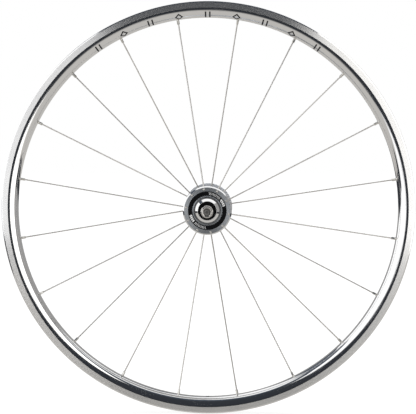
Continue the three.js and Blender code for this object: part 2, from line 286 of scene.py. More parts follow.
class Nodes:
    """Makes the nodes of one material's tree and links them."""

    def __init__(self, tree):
        self.tree = tree

    def new(self, kind, inputs=None, **settings):
        node = self.tree.nodes.new(kind)
        for key, value in settings.items():
            setattr(node, key, value)
        for key, value in (inputs or {}).items():
            if isinstance(value, bpy.types.NodeSocket):
                self.tree.links.new(value, node.inputs[key])
            else:
                node.inputs[key].default_value = value
        return node

    def math(self, operation, a, b=0.0):
        return self.new("ShaderNodeMath", {0: a, 1: b}, operation=operation).outputs[0]

    def ramp(self, value, low, high, to_low=0.0, to_high=1.0, smooth=True):
        kind = "SMOOTHSTEP" if smooth else "LINEAR"
        inputs = {"Value": value, "From Min": low, "From Max": high, "To Min": to_low, "To Max": to_high}
        return self.new("ShaderNodeMapRange", inputs, interpolation_type=kind).outputs["Result"]

    def mix(self, factor, a, b):
        node = self.new("ShaderNodeMix", data_type="RGBA")
        for key, value in (("Factor", factor), ("A", a), ("B", b)):
            sockets = [s for s in node.inputs if s.name == key and s.enabled]
            if isinstance(value, bpy.types.NodeSocket):
                self.tree.links.new(value, sockets[0])
            else:
                sockets[0].default_value = value
        return [s for s in node.outputs if s.enabled][0]

    def place(self):
        return self.new("ShaderNodeTexCoord").outputs["Object"]

    def polar(self):
        """Distance from the axle's line, angle round it, and y, in metres and radians."""
        where = self.place()
        x, y, z = self.new("ShaderNodeSeparateXYZ", {0: where}).outputs
        flat = self.math("ADD", self.math("MULTIPLY", x, x), self.math("MULTIPLY", z, z))
        return self.math("SQRT", flat), self.math("ARCTAN2", z, x), y

    def noise(self, vector, scale, detail=3.0):
        inputs = {"Vector": vector, "Scale": scale, "Detail": detail, "Roughness": 0.5}
        return self.new("ShaderNodeTexNoise", inputs).outputs["Fac"]

    def vector(self, x, y, z):
        return self.new("ShaderNodeCombineXYZ", {0: x, 1: y, 2: z}).outputs[0]

    def bump(self, height, strength, distance):
        inputs = {"Height": height, "Strength": strength, "Distance": distance}
        return self.new("ShaderNodeBump", inputs).outputs["Normal"]


def rgb(red, green, blue):
    return (red, green, blue, 1.0)


def new_material(name):
    """A material, the maker of its nodes, and its shader."""
    material = bpy.data.materials.new(name)
    material.use_nodes = True
    nodes = Nodes(material.node_tree)
    shader = next(n for n in material.node_tree.nodes if n.type == "BSDF_PRINCIPLED")
    return material, nodes, shader


def link(nodes, shader, **sockets):
    """Links or sets sockets of the shader, named with _ for a space."""
    for name, value in sockets.items():
        socket = shader.inputs[name.replace("_", " ")]
        if isinstance(value, bpy.types.NodeSocket):
            nodes.tree.links.new(value, socket)
        else:
            socket.default_value = value


def turned_metal(name, light, dark, rough, grain=0.3, pitch=0.25, cloud=0.35, anisotropy=0.0):
    """Metal worked on a lathe: fine grooves round the axle's line, and slow clouding of colour and gloss.

    rough is the (least, most) roughness, pitch the mean distance between grooves in millimetres."""
    material, nodes, shader = new_material(name)
    radius, angle, y = nodes.polar()
    across = 1 / (pitch * MM)
    out, along = nodes.math("MULTIPLY", radius, across), nodes.math("MULTIPLY", y, across)
    grooves = nodes.noise(nodes.vector(out, angle, along), 1.0, 2.0)
    where = nodes.place()
    clouds = nodes.noise(where, 1 / (cloud * 100 * MM), 4.0)
    wear = nodes.math("MULTIPLY", nodes.ramp(clouds, 0.35, 0.7), nodes.ramp(grooves, 0.3, 0.75))
    link(
        nodes,
        shader,
        Base_Color=nodes.mix(nodes.ramp(clouds, 0.3, 0.7), rgb(*light), rgb(*dark)),
        Metallic=1.0,
        Roughness=nodes.ramp(wear, 0.0, 1.0, rough[0], rough[1]),
        Normal=nodes.bump(grooves, grain, 0.004 * MM),
    )
    if anisotropy:
        tangent = nodes.new("ShaderNodeTangent", direction_type="RADIAL", axis="Y").outputs[0]
        link(nodes, shader, Anisotropic=anisotropy, Anisotropic_Rotation=0.25, Tangent=tangent)
    return material


def cast_plastic(name, light, dark, rough, scale=0.6, bump=0.2, shine=0.5):
    """A dark moulded or printed surface, with a fine grain."""
    material, nodes, shader = new_material(name)
    where = nodes.place()
    grain = nodes.noise(where, 1 / (scale * MM), 3.0)
    clouds = nodes.noise(where, 1 / (12 * MM), 3.0)
    link(
        nodes,
        shader,
        Base_Color=nodes.mix(nodes.ramp(clouds, 0.3, 0.7), rgb(*light), rgb(*dark)),
        Roughness=nodes.ramp(grain, 0.3, 0.7, rough[0], rough[1]),
        Normal=nodes.bump(grain, bump, 0.02 * MM),
        Specular_IOR_Level=shine,
    )
    return material


def woven_tape(name):
    """Plain-woven cotton: threads that cross over and under, one way round the rim and one across it."""
    material, nodes, shader = new_material(name)
    radius, angle, y = nodes.polar()
    thread = 0.45 * MM
    turns = nodes.math("MULTIPLY", angle, BEAD_SEAT_R * MM * math.pi / thread)
    rows = nodes.math("MULTIPLY", y, math.pi / thread)
    warp, weft = nodes.math("SINE", turns), nodes.math("SINE", rows)
    weave = nodes.math("MULTIPLY", warp, weft)
    where = nodes.place()
    fuzz = nodes.noise(where, 1 / (0.2 * MM), 3.0)
    height = nodes.math("ADD", nodes.math("MULTIPLY", weave, 0.5), nodes.math("MULTIPLY", fuzz, 0.5))
    # Colour follows height: the low places between the threads are painted darker as painted shade, and the
    # fuzz varies the tone at random.
    shade = nodes.ramp(height, -0.2, 0.8)
    link(
        nodes,
        shader,
        Base_Color=nodes.mix(shade, rgb(0.46, 0.45, 0.41), rgb(0.76, 0.75, 0.71)),
        Roughness=nodes.ramp(fuzz, 0.2, 0.8, 0.75, 0.95),
        Normal=nodes.bump(height, 0.6, 0.15 * MM),
        Sheen_Weight=0.25,
    )
    return material


POLISHED = turned_metal("polished_aluminium", (0.93, 0.93, 0.93), (0.9, 0.9, 0.905), (0.03, 0.07), 0.03, 0.5)
TRACK = turned_metal(
    "machined_track", (0.93, 0.93, 0.93), (0.89, 0.89, 0.895), (0.16, 0.18), 0.02, 0.5, anisotropy=1.0
)
BED = turned_metal("rim_bed", (0.72, 0.73, 0.74), (0.62, 0.63, 0.65), (0.35, 0.5), 0.2, 0.5)
# Painted shade: the same aluminium painted dark in the grooves at the rim's track foot and beside the hub's
# nose, standing for the shade in them.
GROOVE_SHADE = turned_metal("shadow_groove", (0.16, 0.165, 0.17), (0.1, 0.1, 0.105), (0.35, 0.5), 0.2, 0.4)
SATIN = turned_metal(
    "satin_aluminium", (0.36, 0.38, 0.405), (0.3, 0.32, 0.345), (0.3, 0.36), 0.03, 0.4, anisotropy=0.8
)
# Painted light: the same satin alloy with a paler colour, on the faces between the flanges, standing for
# light that falls there.
SATIN_PAINTED_LIGHT = turned_metal("satin_painted_light", (0.78, 0.8, 0.83), (0.7, 0.72, 0.755), (0.34, 0.42), 0.05, 0.4)
NOSE = turned_metal("polished_nose", (0.93, 0.93, 0.93), (0.89, 0.89, 0.895), (0.04, 0.09), 0.04, 0.3)
SPOKE_STEEL = turned_metal("stainless_steel", (0.72, 0.7, 0.67), (0.64, 0.62, 0.595), (0.18, 0.3), 0.25, 0.5)
NIPPLE_BRASS = turned_metal("nickel_plate", (0.78, 0.765, 0.735), (0.7, 0.685, 0.65), (0.16, 0.28), 0.25, 0.3)
BEARING_STEEL = turned_metal("bearing_steel", (0.62, 0.63, 0.64), (0.54, 0.55, 0.56), (0.12, 0.22), 0.2, 0.2)
AXLE_STEEL = turned_metal("axle_steel", (0.2, 0.195, 0.19), (0.13, 0.128, 0.125), (0.35, 0.5), 0.3, 0.2)
TURNED_STEEL = turned_metal("turned_steel", (0.66, 0.66, 0.66), (0.56, 0.56, 0.565), (0.2, 0.34), 0.4, 0.15)
ZINC = turned_metal(
    "zinc_plate", (0.62, 0.605, 0.585), (0.5, 0.485, 0.47), (0.21, 0.27), 0.06, 0.25, anisotropy=1.0
)
RUBBER = cast_plastic("black_rubber", (0.005, 0.005, 0.0055), (0.009, 0.009, 0.0095), (0.5, 0.7), shine=0.06)
PRINT_BLACK = cast_plastic(
    "black_print", (0.003, 0.003, 0.0034), (0.005, 0.005, 0.006), (0.15, 0.2), 0.4, 0.03, 0.12
)
PRINT_WHITE = cast_plastic("white_print", (0.84, 0.84, 0.83), (0.76, 0.76, 0.755), (0.35, 0.5), 0.4, 0.08)
ETCHED = cast_plastic("etched_mark", (0.012, 0.012, 0.014), (0.02, 0.02, 0.022), (0.35, 0.5), 0.3, 0.05, 0.2)
COTTON = woven_tape("woven_cotton")


# -------------------- rim and its tape


def flank_outline():
    """The rim's side wall, corner and half the spoke bed, as (radius, y) points from the track inwards."""
    points = [(WALL_TOP_R, WALL_TOP_HALF_WIDTH)]
    # how far the wall leans, in degrees, at each radius
    leans = [(WALL_TOP_R, 2.0), (305.5, 4.2), (304.5, 4.95), (303.5, 5.33), (302.2, 5.54)]
    leans += [(301.3, 5.79), (300.4, 6.22), (299.1, 7.2), (WALL_FOOT_R, WALL_FOOT_LEAN)]
    steps = 28
    for k in range(1, steps + 1):
        radius = WALL_TOP_R + (WALL_FOOT_R - WALL_TOP_R) * k / steps
        lean = np.interp(-radius, [-r for r, _ in leans], [a for _, a in leans])
        points.append((radius, points[-1][1] + (radius - points[-1][0]) * math.tan(math.radians(lean))))
    corner, foot = points[-1], math.radians(WALL_FOOT_LEAN)
    edge = math.radians(BED_EDGE)
    bed_r = RIM_INNER_R + BED_CURVE_R * (1 - math.sin(edge))
    bed_y = BED_CURVE_R * math.cos(edge)
    steps = 14
    for k in range(1, steps + 1):
        tilt = foot + (edge - foot) * k / steps
        inwards = (math.sin(tilt) - math.sin(foot)) / (math.sin(edge) - math.sin(foot))
        across = (math.cos(foot) - math.cos(tilt)) / (math.cos(foot) - math.cos(edge))
        points.append((corner[0] + (bed_r - corner[0]) * inwards, corner[1] + (bed_y - corner[1]) * across))
    steps = 20
    for k in range(1, steps + 1):
        tilt = edge + (math.pi / 2 - edge) * k / steps
        points.append((RIM_INNER_R + BED_CURVE_R * (1 - math.sin(tilt)), BED_CURVE_R * math.cos(tilt)))
    return points


FLANK = np.array(flank_outline())
FLANK_RUN = np.concatenate([[0], np.cumsum(np.hypot(*np.diff(FLANK, axis=0).T))])


def flank_point(run, lift=0.0):
    """The (radius, y) of the flank at a distance along it from its top, lifted off it."""
    here, ahead, behind = (
        np.array([np.interp(run + step, FLANK_RUN, FLANK[:, k]) for k in (0, 1)]) for step in (0, 0.2, -0.2)
    )
    along = (ahead - behind) / np.linalg.norm(ahead - behind)
    return here + lift * np.array([along[1], -along[0]])


def rim_outline():
    """The rim's outside, from the tyre well over the hooks, track and side wall to the spoke bed."""
    outside = rounded(
        [
            (WELL_R, 0),
            (WELL_R, 3.8),
            (BEAD_SEAT_R - 0.35, 6.2),
            (BEAD_SEAT_R, 9.75),
            (BEAD_SEAT_R + 3.3, 9.85),
            (BEAD_SEAT_R + 4.4, 9.05),
            (BEAD_SEAT_R + 5.6, 9.35),
            (RIM_OUTER_R, 10.1),
            (RIM_OUTER_R, RIM_HALF_WIDTH - 0.75),
            (RIM_OUTER_R - 0.4, RIM_HALF_WIDTH - 0.17),
            (RIM_OUTER_R - 1.9, RIM_HALF_WIDTH),
            (TRACK_FOOT_R, RIM_HALF_WIDTH),
            (TRACK_FOOT_R - 0.1, RIM_HALF_WIDTH - 0.7),
            (WALL_TOP_R + 0.1, RIM_HALF_WIDTH - 0.75),
            (WALL_TOP_R + 0.05, WALL_TOP_HALF_WIDTH - 0.1),
        ],
        [0, 0.8, 0.9, 0.5, 0.6, 0.5, 0.4, 0.35, 0.3, 0.3, 3.0, 0.12, 0.15, 0.1, 0],
    )
    return mirrored(outside + [tuple(point) for point in FLANK])


def cavity_outline():
    """The hollow between the spoke bed and the tyre well."""
    floor, roof = CAVITY_FLOOR_R, CAVITY_ROOF_R
    half = [(floor, 0), (floor, 3.9), (floor + 1.6, 6.9), (floor + 4, 8.9)]
    half += [(roof + 3.5, 10.1), (roof + 3.5, 7.2), (roof, 4.2), (roof, 0)]
    return mirrored(rounded(half, [0, 1.5, 3, 3, 0.5, 0.5, 1, 0]))


def spoke_places():
    """Number, angle and side of each spoke, counted as the CAD's nodes are."""
    for k in range(SPOKE_COUNT):
        yield f"{k + 1:02d}", FIRST_SPOKE_ANGLE + k * 360 / SPOKE_COUNT, 1 if k % 2 == 0 else -1


ELBOW_START = Vector((SPOKE_CIRCLE_R, FLANGE_BACK + 0.2))
ELBOW_CENTRE = ELBOW_START + Vector((ELBOW_R, 0))
TO_RIM = Vector((RIM_INNER_R, 0)) - ELBOW_CENTRE
LEAN = math.atan2(-TO_RIM.y, TO_RIM.x) - math.asin(ELBOW_R / TO_RIM.length)
SPOKE_WAY = Vector((math.cos(LEAN), -math.sin(LEAN)))
ELBOW_END = ELBOW_CENTRE - ELBOW_R * Vector((math.sin(LEAN), math.cos(LEAN)))


def on_spoke(radius):
    """The point of a left-hand spoke's line at a distance from the wheel's centre, in (radius, y)."""
    return ELBOW_END + SPOKE_WAY * ((radius - ELBOW_END.x) / SPOKE_WAY.x)


def radial_rod(start, end, side, radius, degrees, sides=32):
    """A rod between two (radius, y) points, turned round the wheel by an angle."""
    vertices, faces = rod((start[0], side * start[1], 0), (end[0], side * end[1], 0), radius, sides)
    return placed(np.asarray(vertices), degrees), faces


RIM_MATERIALS = [POLISHED, TRACK, BED, GROOVE_SHADE]
ON_POLISH, ON_TRACK, ON_BED, IN_GROOVE = range(4)


def rim_material(centre):
    """The place in RIM_MATERIALS of a face of the rim, by where its middle lies."""
    radius, y = math.hypot(centre.x, centre.z), abs(centre.y)
    if radius > TRACK_FOOT_R + 0.02:
        if y > RIM_HALF_WIDTH - 0.04 and radius < TRACK_TOP_R:
            return ON_TRACK
        return ON_POLISH if y > RIM_HALF_WIDTH - 1.0 or radius > RIM_OUTER_R - 0.8 else ON_BED
    # faces in the groove at the track's foot take the painted groove shade
    if radius > WALL_TOP_R + 0.01 and y > RIM_HALF_WIDTH - 0.8:
        return IN_GROOVE
    wall = np.interp(-radius, -FLANK[:, 0], FLANK[:, 1])
    return ON_BED if y < wall - 0.35 and radius > RIM_INNER_R + 0.3 else ON_POLISH


def make_rim():
    """The hollow rim, with spoke holes, access holes and the valve hole."""
    segments = 360
    outside = skin(turned(rim_outline(), segments))
    inside = skin(turned(cavity_outline(), segments))
    rim = build("rim_shell", outside, RIM_MATERIALS)
    combine(rim, "DIFFERENCE", [inside], face_material=rim_material)
    holes = []
    for _, degrees, side in spoke_places():
        inside_end = on_spoke(CAVITY_FLOOR_R + 3)
        holes.append(radial_rod(on_spoke(RIM_INNER_R - 3), inside_end, side, RIM_SPOKE_HOLE_R, degrees))
        holes.append(radial_rod((CAVITY_ROOF_R - 2, 0), (WELL_R + 1, 0), 1, ACCESS_HOLE_R, degrees))
    holes.append(radial_rod((RIM_INNER_R - 2, 0), (WELL_R + 1, 0), 1, VALVE_HOLE_R, VALVE_ANGLE))
    combine(rim, "DIFFERENCE", holes, face_material=rim_material)
    finish(rim, "wheel", "polished_aluminium", "rim")


def make_tape():
    """The cotton tape that covers the access holes."""
    floor, lip = WELL_R + 0.05, BEAD_SEAT_R - 0.1
    half = [(floor, 0), (floor, 3.6), (lip, 5.9), (lip + 0.5, 5.7), (floor + 0.7, 3.3), (floor + 0.7, 0)]
    outline = mirrored(rounded(half, [0, 0.5, 0.15, 0.15, 0.5, 0]))
    tape = build("cotton_rim_tape", skin(turned(outline, 240)), COTTON)
    valve_hole = radial_rod((RIM_INNER_R, 0), (RIM_OUTER_R, 0), 1, VALVE_HOLE_R + 0.3, VALVE_ANGLE)
    combine(tape, "DIFFERENCE", [valve_hole])
    finish(tape, "wheel", "cotton_tape", "rim_tape")


def patch(corners, surface, steps=(8, 8), lift=(0.04, -0.03)):
    """A thin closed patch on a surface.

    corners are four (angle, across) pairs, and surface(angle, across, lift) gives a point."""
    (a, b, c, d) = [np.array(p, float) for p in corners]
    layers = []
    for height in lift:
        grid = []
        for i in range(steps[0] + 1):
            u = i / steps[0]
            for j in range(steps[1] + 1):
                v = j / steps[1]
                angle, across = (1 - v) * ((1 - u) * a + u * b) + v * ((1 - u) * d + u * c)
                grid.append(surface(angle, across, height))
        layers.append(grid)
    wide, size = steps[1] + 1, len(layers[0])
    faces = []
    for i in range(steps[0]):
        for j in range(steps[1]):
            q = [i * wide + j, i * wide + j + 1, (i + 1) * wide + j + 1, (i + 1) * wide + j]
            faces.append(q)
            faces.append([k + size for k in reversed(q)])
    rows, columns = range(steps[0] + 1), range(steps[1] + 1)
    edge = [i * wide for i in rows] + [steps[0] * wide + j for j in columns][1:]
    edge += [i * wide + steps[1] for i in reversed(rows)][1:] + [j for j in reversed(columns)][1:-1]
    for k, start in enumerate(edge):
        end = edge[(k + 1) % len(edge)]
        faces.append([start, end, end + size, start + size])
    return np.array(layers[0] + layers[1]), faces


def on_flank(side):
    """A surface for patch(): the rim's flank. across is the distance from the flank's top."""

    def surface(degrees, across, lift):
        radius, y = flank_point(across, lift)
        angle = math.radians(degrees)
        return [radius * math.cos(angle), side * y, radius * math.sin(angle)]

    return surface


def make_rim_marks():
    """Plain marks in place of lettering: bars and hollow diamonds in turn, either side of the top."""
    low, high, half_bar, half_diamond, wall = 5.7, 17.2, 0.22, 1.3, 0.44
    middle = (low + high) / 2
    marks_at = [(90 + 8.5 * k, k % 2 == 0) for k in range(-4, 5)]
    for label, side in SIDES.items():
        surface = on_flank(side)
        marks = []
        for degrees, is_bar in marks_at:
            if is_bar:
                for shift in (-0.62, 0.62):
                    low_end, high_end = degrees + shift - half_bar, degrees + shift + half_bar
                    corners = [(low_end, low), (high_end, low), (high_end, high), (low_end, high)]
                    marks.append(patch(corners, surface, (2, 16)))
                continue
            left, right = degrees - half_diamond, degrees + half_diamond
            tips = [(left, middle), (degrees, low), (right, middle), (degrees, high)]
            keep = 1 - wall
            inner = [(degrees + (a - degrees) * keep, middle + (run - middle) * keep) for a, run in tips]
            for k in range(4):
                n = (k + 1) % 4
                marks.append(patch([tips[k], tips[n], inner[n], inner[k]], surface, (10, 3)))
        piece = build("rim_marks_" + label, joined(*marks), ETCHED)
        finish(piece, "wheel", "black_label")


# -------------------- spokes and nipples


def spoke_stations():
    """(centre, direction, radius) down a left-hand spoke, from its head's top to its end in the nipple."""
    down = Vector((0, -1))
    top = FLANGE_FACE + 0.02 + HEAD_HEIGHT
    dome = [(0.0, 0.0), (0.04, 0.45), (0.14, 0.85), (0.32, 1.25), (0.56, 1.6)]
    dome += [(0.8, 1.85), (1.0, 1.95), (1.18, 1.95)]
    for depth, radius in dome:
        yield Vector((SPOKE_CIRCLE_R, top - depth)), down, radius
    yield Vector((SPOKE_CIRCLE_R, top - HEAD_HEIGHT)), down, HEAD_R - 0.1
    yield Vector((SPOKE_CIRCLE_R, top - HEAD_HEIGHT)), down, SPOKE_R + 0.12
    yield Vector((SPOKE_CIRCLE_R, top - HEAD_HEIGHT - 0.6)), down, SPOKE_R
    steps = 12
    for k in range(steps + 1):
        turn = k / steps * (math.pi / 2 - LEAN)
        out = Vector((math.cos(turn), math.sin(turn)))
        yield ELBOW_CENTRE - ELBOW_R * out, Vector((math.sin(turn), -math.cos(turn))), SPOKE_R
    butt = [(60, SPOKE_R), (68, SPOKE_MIDDLE_R), (262, SPOKE_MIDDLE_R), (270, SPOKE_R), (283, SPOKE_R)]
    for radius, thickness in butt + [(296.2, SPOKE_R), (296.5, SPOKE_R - 0.25), (296.5, 0.0)]:
        yield on_spoke(radius), SPOKE_WAY, thickness


def ring_across(centre, way, radius, turn, side):
    """A ring of points across a line in the (radius, y) plane, at the angles turn round it."""
    swing = radius * np.cos(turn)
    return np.stack([centre.x - swing * way.y, side * (centre.y + swing * way.x), radius * np.sin(turn)], -1)


def make_spoke(number, degrees, side):
    """A butted spoke with a domed head and a bent elbow."""
    turn = np.linspace(0, 2 * math.pi, 16, endpoint=False)
    rings = [ring_across(centre, way, radius, turn, side) for centre, way, radius in spoke_stations()]
    vertices, faces = skin(np.array(rings), closed=False)
    spoke = build("wire_spoke_" + number, (placed(vertices, degrees), faces), SPOKE_STEEL)
    finish(spoke, "wheel", "stainless_steel", "spoke_" + number)


def make_nipple(number, degrees, side):
    """A nipple with four flats at its inner end, a round waist, and a domed head inside the rim."""
    start, body_r, flat_r, head_r, length = 285.2, 2.0, 1.62, 2.95, 12.0
    sides = 32
    spin = math.radians(37 * int(number))
    turn = np.linspace(0, 2 * math.pi, sides, endpoint=False)
    fold = (turn + math.pi / 4) % (math.pi / 2) - math.pi / 4
    square = np.minimum(flat_r / np.cos(fold), body_r)
    full = np.full(sides, body_r)
    stations = [
        (0.35, np.full(sides, 1.06)),
        (0.0, np.full(sides, 1.22)),
        (0.0, square - 0.35),
        (0.12, square - 0.14),
        (0.35, square),
        (5.0, square),
        (5.35, full),
        (9.0, full),
        (9.9, np.full(sides, head_r - 0.1)),
        (10.2, np.full(sides, head_r)),
        (10.8, np.full(sides, head_r)),
        (11.5, np.full(sides, head_r - 0.5)),
        (length, np.full(sides, head_r - 1.2)),
        (length, np.full(sides, 1.06)),
    ]
    base = on_spoke(start)
    rings = [ring_across(base + SPOKE_WAY * along, SPOKE_WAY, r, turn + spin, side) for along, r in stations]
    vertices, faces = skin(np.array(rings))
    nipple = build("brass_nipple_" + number, (placed(vertices, degrees), faces), NIPPLE_BRASS, 28)
    finish(nipple, "wheel", "nickel_plated_brass", "nipple_" + number)


# -------------------- hub shell


def hub_outline():
    """Half the hub, from the bore out over the nose and flange to the barrel, and its mirror image."""
    half = [
        (HUB_BORE_R, 0),
        (HUB_BORE_R, BEARING_SHOULDER),
        (SEAT_R, BEARING_SHOULDER),
        (SEAT_R, NOSE_FACE - 0.5),
        (SEAT_R + 0.15, NOSE_FACE - 0.05),
        (SEAT_R + 0.5, NOSE_FACE - 0.05),
        (SEAT_R + 2.5, NOSE_FACE - 1.8),
        (NOSE_R - 0.05, FLANGE_FACE + 0.7),
        (NOSE_R + 0.1, FLANGE_FACE + 0.25),
        (BEAD_R - 1.1, FLANGE_FACE + 0.25),
        (BEAD_R - 0.5, FLANGE_FACE + 0.8),
        (BEAD_R + 0.4, FLANGE_FACE + 0.8),
        (BEAD_R + 1.1, FLANGE_FACE),
        (FLANGE_R - FLANGE_BEVEL, FLANGE_FACE),
        (FLANGE_R, FLANGE_FACE - 1.85),
        (FLANGE_R, FLANGE_BACK + 0.6),
        (FLANGE_R - 0.6, FLANGE_BACK),
        (30.0, FLANGE_BACK),
        (24.3, FLANGE_BACK - 2.4),
        (19.0, FLANGE_BACK - 6.6),
        (16.4, FLANGE_BACK - 13),
        (BARREL_R, FLANGE_BACK - 22),
        (BARREL_R, 0),
    ]
    radii = [0, 0, 0.1, 0.15, 0.15, 0.25, 12, 0.15, 0.15, 0.3, 0.3, 0.3, 0.2, 0.3, 0.3, 0.2, 0.2]
    radii += [3, 5, 6, 10, 10, 0]
    return mirrored(rounded(half, radii, 5))


HUB_MATERIALS = [SATIN, NOSE, GROOVE_SHADE, SATIN_PAINTED_LIGHT]
ON_SATIN, ON_NOSE, BY_NOSE, INSIDE_FLANGES = range(4)


def hub_material(centre):
    """The place in HUB_MATERIALS of a face: polished nose and bevels, a groove painted dark as shade, satin
    painted lighter between the flanges as painted light, and satin elsewhere.
    """
    radius, y = math.hypot(centre.x, centre.z), abs(centre.y)
    if y > FLANGE_FACE + 0.02:
        if radius < NOSE_R + 0.12:
            return ON_NOSE
        return BY_NOSE if radius < BEAD_R - 0.75 else ON_SATIN
    if radius > FLANGE_R - FLANGE_BEVEL and FLANGE_FACE - FLANGE_BEVEL < y < FLANGE_FACE - 0.02:
        return ON_NOSE
    # faces between the flanges take the satin painted lighter, as painted light
    return INSIDE_FLANGES if y < FLANGE_FACE - 0.5 else ON_SATIN


def make_hub():
    """The hub shell, drilled for the spokes."""
    hub = build("hub_body", skin(turned(hub_outline(), 240)), HUB_MATERIALS)
    holes = []
    for _, degrees, side in spoke_places():
        start, end = (SPOKE_CIRCLE_R, FLANGE_BACK - 1), (SPOKE_CIRCLE_R, FLANGE_FACE + 1)
        holes.append(radial_rod(start, end, side, HUB_SPOKE_HOLE_R, degrees, 20))
    combine(hub, "DIFFERENCE", holes, face_material=hub_material)
    finish(hub, "wheel", "satin_aluminium", "hub_shell")


LABEL_INNER_R, LABEL_OUTER_R, LABEL_TOP = 22.9, 29.35, FLANGE_FACE + 0.3


def on_band(side):
    """A surface for patch(): the label band's face. across is the distance from the axle's line."""

    def surface(degrees, across, lift):
        angle = math.radians(degrees)
        return [across * math.cos(angle), side * (LABEL_TOP + lift), across * math.sin(angle)]

    return surface


def make_label(label, side):
    """A black ring on the flange, with plain white bars: a bold group and a fine group, twice round."""
    outline = rounded(
        [
            (LABEL_INNER_R, FLANGE_FACE + 0.02),
            (LABEL_OUTER_R, FLANGE_FACE + 0.02),
            (LABEL_OUTER_R, LABEL_TOP),
            (LABEL_INNER_R, LABEL_TOP),
        ],
        0.08,
        2,
    )
    band = build("flange_band_" + label, skin(turned(on_side(outline, side), 180)), PRINT_BLACK)
    finish(band, "wheel", "black_label", "label_band_" + label)
    low, high, slant = LABEL_INNER_R + 1.3, LABEL_OUTER_R - 1.3, 1.6
    marks = []
    for turn in (0, 180):
        for count, first, pitch, wide in ((4, 14, 6.4, 4.8), (9, 44, 4.7, 1.5)):
            for k in range(count):
                start = turn + first + pitch * k
                end = start + wide
                corners = [(start, low), (end, low), (end + slant, high), (start + slant, high)]
                marks.append(patch(corners, on_band(side), (4, 4), (0.03, -0.05)))
    print_piece = build("band_print_" + label, joined(*marks), PRINT_WHITE)
    finish(print_piece, "wheel", "black_label")


# -------------------- bearings and covers


def make_bearing(label, side):
    """A cartridge bearing: two races with grooves, and a ring of balls in a cage."""
    near, far = near_and_far("bearing_outer_race_left")
    middle, ball_r, pitch_r, groove_r = (near + far) / 2, 1.82, 10.3, 1.95
    dip = 1.15
    brink = math.sqrt(groove_r**2 - dip**2)

    def raceway(wall_r, inward):
        steps = np.linspace(-dip, dip, 9)
        return [(wall_r + inward * (math.sqrt(groove_r**2 - d**2) - brink), middle + d) for d in steps]

    outer = [(14.0, near), (14.0, far), (12.35, far)] + raceway(12.35, 1)[::-1] + [(12.35, near)]
    inner = [(6.1, near), (6.1, far), (8.25, far)] + raceway(8.25, -1)[::-1] + [(8.25, near)]
    for name, outline, body in (("outer", outer, "wheel"), ("inner", inner, "axle")):
        radii = [0.35, 0.35, 0.2] + [0] * 9 + [0.2]
        shape = skin(turned(on_side(rounded(outline, radii, 3), side), 96))
        race = build(f"bearing_{name}_ring_{label}", shape, BEARING_STEEL)
        finish(race, body, "bearing_steel", f"bearing_{name}_race_{label}")

    cage = rounded([(9.85, middle - 1), (10.75, middle - 1), (10.75, middle + 1), (9.85, middle + 1)], 0.2, 2)
    parts = [skin(turned(on_side(cage, side), 72))]
    balls = 9
    for k in range(balls):
        tilt = np.linspace(0, math.pi, 13)
        profile = [(ball_r * math.sin(a), ball_r * math.cos(a)) for a in tilt]
        rings = turned(profile, 24)
        rings = rings + np.array([pitch_r, side * middle, 0])
        vertices, faces = skin(rings, closed=False)
        parts.append((placed(vertices, 360 * k / balls), faces))
    ring_of_balls = build("bearing_balls_" + label, parts[0], BEARING_STEEL)
    combine(ring_of_balls, "UNION", parts[1:], BEARING_STEEL)
    finish(ring_of_balls, "ball_cage_" + label, "bearing_steel", "bearing_ball_cage_" + label)


def make_cover(label, side):
    """A dust cover: a ribbed rubber ring, with a polished rim and a thin lip by the lock spacer."""
    near, far = near_and_far("dust_cover_left")
    outer_r, rim_r, bore_r = 13.9, 13.6, 8.65
    outline = rounded(
        [
            (bore_r, near + 0.5),
            (9.6, near),
            (outer_r, near),
            (outer_r, far - 0.5),
            (rim_r, far),
            (13.25, far - 0.45),
            (11.6, far - 0.45),
            (11.3, far - 0.05),
            (10.5, far - 0.05),
            (10.2, far - 0.5),
            (9.1, far - 0.6),
            (bore_r, far - 0.3),
        ],
        0.15,
        3,
    )
    shape = skin(turned(on_side(outline, side), 120))

    def on_rim(centre):
        return 1 if math.hypot(centre.x, centre.z) > rim_r and abs(centre.y) > far - 0.55 else 0

    cover = build("rubber_seal_" + label, shape, [RUBBER, NOSE], face_material=on_rim)
    finish(cover, "wheel", "black_rubber", "dust_cover_" + label)


# -------------------- axle and what is threaded on it


def tooth(phase):
    """The depth of a rolled thread, 0 at the crest and 1 at the root, at a phase in turns."""
    folded = np.abs((phase % 1.0) * 2 - 1)
    return np.clip((folded - 0.12) / 0.76, 0, 1)


def thread_shape(start, end, depth, inside=False):
    """A shape for turned(): a right-hand thread between two distances from the wheel's middle."""

    def shape(r, y, angle):
        run = np.clip((np.abs(y) - start) / 0.6, 0, 1) * np.clip((end - np.abs(y)) / 0.6, 0, 1)
        cut_in = depth * tooth(y / THREAD_PITCH + angle / (2 * math.pi)) * run
        return r + cut_in if inside else r - cut_in, y

    return shape


